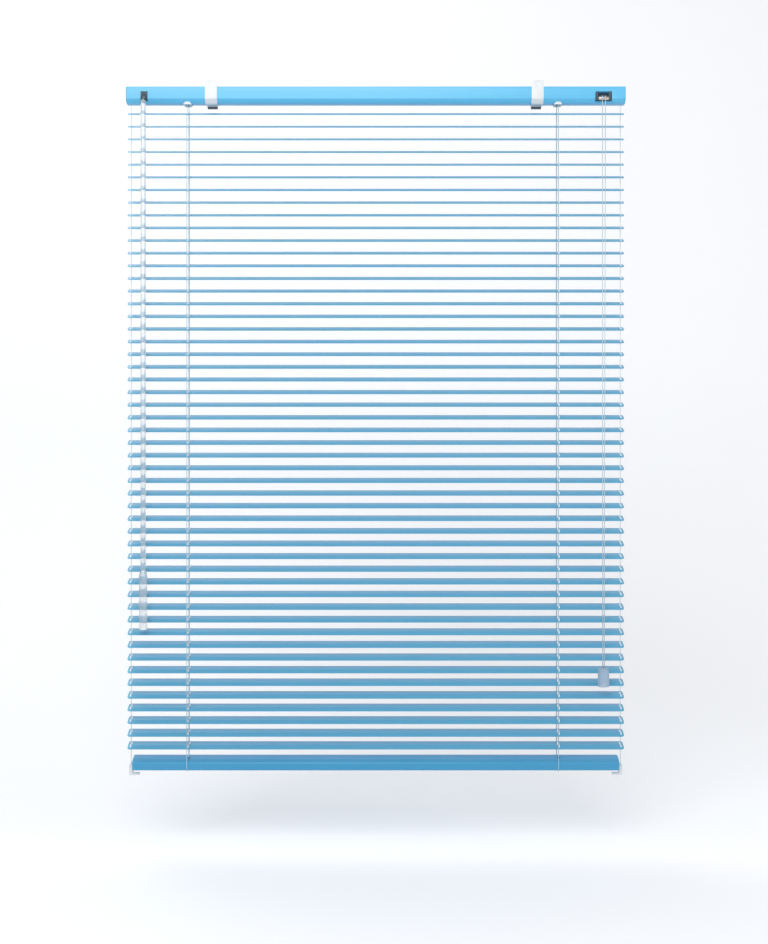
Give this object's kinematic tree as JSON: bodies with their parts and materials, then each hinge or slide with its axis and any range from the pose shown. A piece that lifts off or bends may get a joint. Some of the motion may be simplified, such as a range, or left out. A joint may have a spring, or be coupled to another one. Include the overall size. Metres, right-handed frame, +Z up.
{
  "type": "venetian blind",
  "caption": "Horizontal aluminium blind in a folded headrail, with crowned slats on ladder cords, a clear tilt wand, pull cords and a bottom rail on guide lines.",
  "frame": {"origin": "midway between the two hanger screws, on the plane that the hangers are screwed to", "axes": "+X to the right along the headrail, +Y away from the room, +Z up"},
  "size_m": [0.7881, 0.0464, 1.0968],
  "materials": {
    "headrail_lacquer": "satin",
    "slat_lacquer": "satin",
    "rail_lacquer": "satin",
    "white_enamel": "satin",
    "grey_plastic": "matte",
    "black_plastic": "matte",
    "white_plastic": "satin",
    "plated_steel": "satin",
    "stem_steel": "satin",
    "roller_brass": "satin",
    "clear_plastic": "clear, glossy",
    "blue_cord": "braided",
    "pull_cord_braid": "braided",
    "tassel_plastic": "translucent"
  },
  "bodies": {
    "headrail": {"headrail": "headrail_lacquer", "brackets": "white_enamel", "headrail_fittings": "grey_plastic", "ladders": "blue_cord", "pull_cord": "pull_cord_braid"},
    "bottom_rail": {"bottom_rail": "rail_lacquer"},
    "tilt_shaft": {"tilt_shaft": "plated_steel"},
    "tilter_stem": {"tilter_stem": "stem_steel"},
    "wand": {"wand": "clear_plastic"},
    "slat_01": {"slat_01": "slat_lacquer"},
    "slat_02": {"slat_02": "slat_lacquer"},
    "slat_03": {"slat_03": "slat_lacquer"},
    "slat_04": {"slat_04": "slat_lacquer"},
    "slat_05": {"slat_05": "slat_lacquer"},
    "slat_06": {"slat_06": "slat_lacquer"},
    "slat_07": {"slat_07": "slat_lacquer"},
    "slat_08": {"slat_08": "slat_lacquer"},
    "slat_09": {"slat_09": "slat_lacquer"},
    "slat_10": {"slat_10": "slat_lacquer"},
    "slat_11": {"slat_11": "slat_lacquer"},
    "slat_12": {"slat_12": "slat_lacquer"},
    "slat_13": {"slat_13": "slat_lacquer"},
    "slat_14": {"slat_14": "slat_lacquer"},
    "slat_15": {"slat_15": "slat_lacquer"},
    "slat_16": {"slat_16": "slat_lacquer"},
    "slat_17": {"slat_17": "slat_lacquer"},
    "slat_18": {"slat_18": "slat_lacquer"},
    "slat_19": {"slat_19": "slat_lacquer"},
    "slat_20": {"slat_20": "slat_lacquer"},
    "slat_21": {"slat_21": "slat_lacquer"},
    "slat_22": {"slat_22": "slat_lacquer"},
    "slat_23": {"slat_23": "slat_lacquer"},
    "slat_24": {"slat_24": "slat_lacquer"},
    "slat_25": {"slat_25": "slat_lacquer"},
    "slat_26": {"slat_26": "slat_lacquer"},
    "slat_27": {"slat_27": "slat_lacquer"},
    "slat_28": {"slat_28": "slat_lacquer"},
    "slat_29": {"slat_29": "slat_lacquer"},
    "slat_30": {"slat_30": "slat_lacquer"},
    "slat_31": {"slat_31": "slat_lacquer"},
    "slat_32": {"slat_32": "slat_lacquer"},
    "slat_33": {"slat_33": "slat_lacquer"},
    "slat_34": {"slat_34": "slat_lacquer"},
    "slat_35": {"slat_35": "slat_lacquer"},
    "slat_36": {"slat_36": "slat_lacquer"},
    "slat_37": {"slat_37": "slat_lacquer"},
    "slat_38": {"slat_38": "slat_lacquer"},
    "slat_39": {"slat_39": "slat_lacquer"},
    "slat_40": {"slat_40": "slat_lacquer"},
    "slat_41": {"slat_41": "slat_lacquer"},
    "slat_42": {"slat_42": "slat_lacquer"},
    "slat_43": {"slat_43": "slat_lacquer"},
    "slat_44": {"slat_44": "slat_lacquer"},
    "slat_45": {"slat_45": "slat_lacquer"},
    "slat_46": {"slat_46": "slat_lacquer"},
    "slat_47": {"slat_47": "slat_lacquer"},
    "slat_48": {"slat_48": "slat_lacquer"},
    "slat_49": {"slat_49": "slat_lacquer"},
    "slat_50": {"slat_50": "slat_lacquer"},
    "slat_51": {"slat_51": "slat_lacquer"}
  },
  "joints": [
    {"name": "bottom_rail_tilt", "type": "hinge", "parent": "headrail", "child": "bottom_rail", "pos_m": [0.00225, 0.0125, -1.0728], "axis": [1, 0, 0], "range_deg": [-90, 54], "deforming": ["ladders"]},
    {"name": "tilt_shaft_turn", "type": "hinge", "parent": "headrail", "child": "tilt_shaft", "pos_m": [0, 0.0125, -0.018], "axis": [1, 0, 0], "range_deg": [-90, 54]},
    {"name": "tilter_stem_spin", "type": "hinge", "parent": "headrail", "child": "tilter_stem", "pos_m": [-0.36275, 0.0066, -0.01305], "axis": [0, 0.6428, 0.766], "range_deg": [-1800, 1080]},
    {"name": "wand_spin", "type": "hinge", "parent": "headrail", "child": "wand", "pos_m": [-0.36275, -0.00754, -0.0299], "axis": [0, 0, 1], "range_deg": [-1800, 1080]},
    {"name": "slat_01_tilt", "type": "hinge", "parent": "headrail", "child": "slat_01", "pos_m": [0.00225, 0.0125, -0.0455], "axis": [1, 0, 0], "range_deg": [-90, 54]},
    {"name": "slat_02_tilt", "type": "hinge", "parent": "headrail", "child": "slat_02", "pos_m": [0.00225, 0.0125, -0.0655], "axis": [1, 0, 0], "range_deg": [-90, 54]},
    {"name": "slat_03_tilt", "type": "hinge", "parent": "headrail", "child": "slat_03", "pos_m": [0.00225, 0.0125, -0.0855], "axis": [1, 0, 0], "range_deg": [-90, 54]},
    {"name": "slat_04_tilt", "type": "hinge", "parent": "headrail", "child": "slat_04", "pos_m": [0.00225, 0.0125, -0.1055], "axis": [1, 0, 0], "range_deg": [-90, 54]},
    {"name": "slat_05_tilt", "type": "hinge", "parent": "headrail", "child": "slat_05", "pos_m": [0.00225, 0.0125, -0.1255], "axis": [1, 0, 0], "range_deg": [-90, 54]},
    {"name": "slat_06_tilt", "type": "hinge", "parent": "headrail", "child": "slat_06", "pos_m": [0.00225, 0.0125, -0.1455], "axis": [1, 0, 0], "range_deg": [-90, 54]},
    {"name": "slat_07_tilt", "type": "hinge", "parent": "headrail", "child": "slat_07", "pos_m": [0.00225, 0.0125, -0.1655], "axis": [1, 0, 0], "range_deg": [-90, 54]},
    {"name": "slat_08_tilt", "type": "hinge", "parent": "headrail", "child": "slat_08", "pos_m": [0.00225, 0.0125, -0.1855], "axis": [1, 0, 0], "range_deg": [-90, 54]},
    {"name": "slat_09_tilt", "type": "hinge", "parent": "headrail", "child": "slat_09", "pos_m": [0.00225, 0.0125, -0.2055], "axis": [1, 0, 0], "range_deg": [-90, 54]},
    {"name": "slat_10_tilt", "type": "hinge", "parent": "headrail", "child": "slat_10", "pos_m": [0.00225, 0.0125, -0.2255], "axis": [1, 0, 0], "range_deg": [-90, 54]},
    {"name": "slat_11_tilt", "type": "hinge", "parent": "headrail", "child": "slat_11", "pos_m": [0.00225, 0.0125, -0.2455], "axis": [1, 0, 0], "range_deg": [-90, 54]},
    {"name": "slat_12_tilt", "type": "hinge", "parent": "headrail", "child": "slat_12", "pos_m": [0.00225, 0.0125, -0.2655], "axis": [1, 0, 0], "range_deg": [-90, 54]},
    {"name": "slat_13_tilt", "type": "hinge", "parent": "headrail", "child": "slat_13", "pos_m": [0.00225, 0.0125, -0.2855], "axis": [1, 0, 0], "range_deg": [-90, 54]},
    {"name": "slat_14_tilt", "type": "hinge", "parent": "headrail", "child": "slat_14", "pos_m": [0.00225, 0.0125, -0.3055], "axis": [1, 0, 0], "range_deg": [-90, 54]},
    {"name": "slat_15_tilt", "type": "hinge", "parent": "headrail", "child": "slat_15", "pos_m": [0.00225, 0.0125, -0.3255], "axis": [1, 0, 0], "range_deg": [-90, 54]},
    {"name": "slat_16_tilt", "type": "hinge", "parent": "headrail", "child": "slat_16", "pos_m": [0.00225, 0.0125, -0.3455], "axis": [1, 0, 0], "range_deg": [-90, 54]},
    {"name": "slat_17_tilt", "type": "hinge", "parent": "headrail", "child": "slat_17", "pos_m": [0.00225, 0.0125, -0.3655], "axis": [1, 0, 0], "range_deg": [-90, 54]},
    {"name": "slat_18_tilt", "type": "hinge", "parent": "headrail", "child": "slat_18", "pos_m": [0.00225, 0.0125, -0.3855], "axis": [1, 0, 0], "range_deg": [-90, 54]},
    {"name": "slat_19_tilt", "type": "hinge", "parent": "headrail", "child": "slat_19", "pos_m": [0.00225, 0.0125, -0.4055], "axis": [1, 0, 0], "range_deg": [-90, 54]},
    {"name": "slat_20_tilt", "type": "hinge", "parent": "headrail", "child": "slat_20", "pos_m": [0.00225, 0.0125, -0.4255], "axis": [1, 0, 0], "range_deg": [-90, 54]},
    {"name": "slat_21_tilt", "type": "hinge", "parent": "headrail", "child": "slat_21", "pos_m": [0.00225, 0.0125, -0.4455], "axis": [1, 0, 0], "range_deg": [-90, 54]},
    {"name": "slat_22_tilt", "type": "hinge", "parent": "headrail", "child": "slat_22", "pos_m": [0.00225, 0.0125, -0.4655], "axis": [1, 0, 0], "range_deg": [-90, 54]},
    {"name": "slat_23_tilt", "type": "hinge", "parent": "headrail", "child": "slat_23", "pos_m": [0.00225, 0.0125, -0.4855], "axis": [1, 0, 0], "range_deg": [-90, 54]},
    {"name": "slat_24_tilt", "type": "hinge", "parent": "headrail", "child": "slat_24", "pos_m": [0.00225, 0.0125, -0.5055], "axis": [1, 0, 0], "range_deg": [-90, 54]},
    {"name": "slat_25_tilt", "type": "hinge", "parent": "headrail", "child": "slat_25", "pos_m": [0.00225, 0.0125, -0.5255], "axis": [1, 0, 0], "range_deg": [-90, 54]},
    {"name": "slat_26_tilt", "type": "hinge", "parent": "headrail", "child": "slat_26", "pos_m": [0.00225, 0.0125, -0.5455], "axis": [1, 0, 0], "range_deg": [-90, 54]},
    {"name": "slat_27_tilt", "type": "hinge", "parent": "headrail", "child": "slat_27", "pos_m": [0.00225, 0.0125, -0.5655], "axis": [1, 0, 0], "range_deg": [-90, 54]},
    {"name": "slat_28_tilt", "type": "hinge", "parent": "headrail", "child": "slat_28", "pos_m": [0.00225, 0.0125, -0.5855], "axis": [1, 0, 0], "range_deg": [-90, 54]},
    {"name": "slat_29_tilt", "type": "hinge", "parent": "headrail", "child": "slat_29", "pos_m": [0.00225, 0.0125, -0.6055], "axis": [1, 0, 0], "range_deg": [-90, 54]},
    {"name": "slat_30_tilt", "type": "hinge", "parent": "headrail", "child": "slat_30", "pos_m": [0.00225, 0.0125, -0.6255], "axis": [1, 0, 0], "range_deg": [-90, 54]},
    {"name": "slat_31_tilt", "type": "hinge", "parent": "headrail", "child": "slat_31", "pos_m": [0.00225, 0.0125, -0.6455], "axis": [1, 0, 0], "range_deg": [-90, 54]},
    {"name": "slat_32_tilt", "type": "hinge", "parent": "headrail", "child": "slat_32", "pos_m": [0.00225, 0.0125, -0.6655], "axis": [1, 0, 0], "range_deg": [-90, 54]},
    {"name": "slat_33_tilt", "type": "hinge", "parent": "headrail", "child": "slat_33", "pos_m": [0.00225, 0.0125, -0.6855], "axis": [1, 0, 0], "range_deg": [-90, 54]},
    {"name": "slat_34_tilt", "type": "hinge", "parent": "headrail", "child": "slat_34", "pos_m": [0.00225, 0.0125, -0.7055], "axis": [1, 0, 0], "range_deg": [-90, 54]},
    {"name": "slat_35_tilt", "type": "hinge", "parent": "headrail", "child": "slat_35", "pos_m": [0.00225, 0.0125, -0.7255], "axis": [1, 0, 0], "range_deg": [-90, 54]},
    {"name": "slat_36_tilt", "type": "hinge", "parent": "headrail", "child": "slat_36", "pos_m": [0.00225, 0.0125, -0.7455], "axis": [1, 0, 0], "range_deg": [-90, 54]},
    {"name": "slat_37_tilt", "type": "hinge", "parent": "headrail", "child": "slat_37", "pos_m": [0.00225, 0.0125, -0.7655], "axis": [1, 0, 0], "range_deg": [-90, 54]},
    {"name": "slat_38_tilt", "type": "hinge", "parent": "headrail", "child": "slat_38", "pos_m": [0.00225, 0.0125, -0.7855], "axis": [1, 0, 0], "range_deg": [-90, 54]},
    {"name": "slat_39_tilt", "type": "hinge", "parent": "headrail", "child": "slat_39", "pos_m": [0.00225, 0.0125, -0.8055], "axis": [1, 0, 0], "range_deg": [-90, 54]},
    {"name": "slat_40_tilt", "type": "hinge", "parent": "headrail", "child": "slat_40", "pos_m": [0.00225, 0.0125, -0.8255], "axis": [1, 0, 0], "range_deg": [-90, 54]},
    {"name": "slat_41_tilt", "type": "hinge", "parent": "headrail", "child": "slat_41", "pos_m": [0.00225, 0.0125, -0.8455], "axis": [1, 0, 0], "range_deg": [-90, 54]},
    {"name": "slat_42_tilt", "type": "hinge", "parent": "headrail", "child": "slat_42", "pos_m": [0.00225, 0.0125, -0.8655], "axis": [1, 0, 0], "range_deg": [-90, 54]},
    {"name": "slat_43_tilt", "type": "hinge", "parent": "headrail", "child": "slat_43", "pos_m": [0.00225, 0.0125, -0.8855], "axis": [1, 0, 0], "range_deg": [-90, 54]},
    {"name": "slat_44_tilt", "type": "hinge", "parent": "headrail", "child": "slat_44", "pos_m": [0.00225, 0.0125, -0.9055], "axis": [1, 0, 0], "range_deg": [-90, 54]},
    {"name": "slat_45_tilt", "type": "hinge", "parent": "headrail", "child": "slat_45", "pos_m": [0.00225, 0.0125, -0.9255], "axis": [1, 0, 0], "range_deg": [-90, 54]},
    {"name": "slat_46_tilt", "type": "hinge", "parent": "headrail", "child": "slat_46", "pos_m": [0.00225, 0.0125, -0.9455], "axis": [1, 0, 0], "range_deg": [-90, 54]},
    {"name": "slat_47_tilt", "type": "hinge", "parent": "headrail", "child": "slat_47", "pos_m": [0.00225, 0.0125, -0.9655], "axis": [1, 0, 0], "range_deg": [-90, 54]},
    {"name": "slat_48_tilt", "type": "hinge", "parent": "headrail", "child": "slat_48", "pos_m": [0.00225, 0.0125, -0.9855], "axis": [1, 0, 0], "range_deg": [-90, 54]},
    {"name": "slat_49_tilt", "type": "hinge", "parent": "headrail", "child": "slat_49", "pos_m": [0.00225, 0.0125, -1.0055], "axis": [1, 0, 0], "range_deg": [-90, 54]},
    {"name": "slat_50_tilt", "type": "hinge", "parent": "headrail", "child": "slat_50", "pos_m": [0.00225, 0.0125, -1.0255], "axis": [1, 0, 0], "range_deg": [-90, 54]},
    {"name": "slat_51_tilt", "type": "hinge", "parent": "headrail", "child": "slat_51", "pos_m": [0.00225, 0.0125, -1.0455], "axis": [1, 0, 0], "range_deg": [-90, 54]}
  ],
  "couplings": [
    {"joint": "tilt_shaft_turn", "follows": "bottom_rail_tilt", "ratio": 1},
    {"joint": "tilter_stem_spin", "follows": "bottom_rail_tilt", "ratio": 20},
    {"joint": "wand_spin", "follows": "bottom_rail_tilt", "ratio": 20},
    {"joint": "slat_01_tilt", "follows": "bottom_rail_tilt", "ratio": 1},
    {"joint": "slat_02_tilt", "follows": "bottom_rail_tilt", "ratio": 1},
    {"joint": "slat_03_tilt", "follows": "bottom_rail_tilt", "ratio": 1},
    {"joint": "slat_04_tilt", "follows": "bottom_rail_tilt", "ratio": 1},
    {"joint": "slat_05_tilt", "follows": "bottom_rail_tilt", "ratio": 1},
    {"joint": "slat_06_tilt", "follows": "bottom_rail_tilt", "ratio": 1},
    {"joint": "slat_07_tilt", "follows": "bottom_rail_tilt", "ratio": 1},
    {"joint": "slat_08_tilt", "follows": "bottom_rail_tilt", "ratio": 1},
    {"joint": "slat_09_tilt", "follows": "bottom_rail_tilt", "ratio": 1},
    {"joint": "slat_10_tilt", "follows": "bottom_rail_tilt", "ratio": 1},
    {"joint": "slat_11_tilt", "follows": "bottom_rail_tilt", "ratio": 1},
    {"joint": "slat_12_tilt", "follows": "bottom_rail_tilt", "ratio": 1},
    {"joint": "slat_13_tilt", "follows": "bottom_rail_tilt", "ratio": 1},
    {"joint": "slat_14_tilt", "follows": "bottom_rail_tilt", "ratio": 1},
    {"joint": "slat_15_tilt", "follows": "bottom_rail_tilt", "ratio": 1},
    {"joint": "slat_16_tilt", "follows": "bottom_rail_tilt", "ratio": 1},
    {"joint": "slat_17_tilt", "follows": "bottom_rail_tilt", "ratio": 1},
    {"joint": "slat_18_tilt", "follows": "bottom_rail_tilt", "ratio": 1},
    {"joint": "slat_19_tilt", "follows": "bottom_rail_tilt", "ratio": 1},
    {"joint": "slat_20_tilt", "follows": "bottom_rail_tilt", "ratio": 1},
    {"joint": "slat_21_tilt", "follows": "bottom_rail_tilt", "ratio": 1},
    {"joint": "slat_22_tilt", "follows": "bottom_rail_tilt", "ratio": 1},
    {"joint": "slat_23_tilt", "follows": "bottom_rail_tilt", "ratio": 1},
    {"joint": "slat_24_tilt", "follows": "bottom_rail_tilt", "ratio": 1},
    {"joint": "slat_25_tilt", "follows": "bottom_rail_tilt", "ratio": 1},
    {"joint": "slat_26_tilt", "follows": "bottom_rail_tilt", "ratio": 1},
    {"joint": "slat_27_tilt", "follows": "bottom_rail_tilt", "ratio": 1},
    {"joint": "slat_28_tilt", "follows": "bottom_rail_tilt", "ratio": 1},
    {"joint": "slat_29_tilt", "follows": "bottom_rail_tilt", "ratio": 1},
    {"joint": "slat_30_tilt", "follows": "bottom_rail_tilt", "ratio": 1},
    {"joint": "slat_31_tilt", "follows": "bottom_rail_tilt", "ratio": 1},
    {"joint": "slat_32_tilt", "follows": "bottom_rail_tilt", "ratio": 1},
    {"joint": "slat_33_tilt", "follows": "bottom_rail_tilt", "ratio": 1},
    {"joint": "slat_34_tilt", "follows": "bottom_rail_tilt", "ratio": 1},
    {"joint": "slat_35_tilt", "follows": "bottom_rail_tilt", "ratio": 1},
    {"joint": "slat_36_tilt", "follows": "bottom_rail_tilt", "ratio": 1},
    {"joint": "slat_37_tilt", "follows": "bottom_rail_tilt", "ratio": 1},
    {"joint": "slat_38_tilt", "follows": "bottom_rail_tilt", "ratio": 1},
    {"joint": "slat_39_tilt", "follows": "bottom_rail_tilt", "ratio": 1},
    {"joint": "slat_40_tilt", "follows": "bottom_rail_tilt", "ratio": 1},
    {"joint": "slat_41_tilt", "follows": "bottom_rail_tilt", "ratio": 1},
    {"joint": "slat_42_tilt", "follows": "bottom_rail_tilt", "ratio": 1},
    {"joint": "slat_43_tilt", "follows": "bottom_rail_tilt", "ratio": 1},
    {"joint": "slat_44_tilt", "follows": "bottom_rail_tilt", "ratio": 1},
    {"joint": "slat_45_tilt", "follows": "bottom_rail_tilt", "ratio": 1},
    {"joint": "slat_46_tilt", "follows": "bottom_rail_tilt", "ratio": 1},
    {"joint": "slat_47_tilt", "follows": "bottom_rail_tilt", "ratio": 1},
    {"joint": "slat_48_tilt", "follows": "bottom_rail_tilt", "ratio": 1},
    {"joint": "slat_49_tilt", "follows": "bottom_rail_tilt", "ratio": 1},
    {"joint": "slat_50_tilt", "follows": "bottom_rail_tilt", "ratio": 1},
    {"joint": "slat_51_tilt", "follows": "bottom_rail_tilt", "ratio": 1}
  ]
}
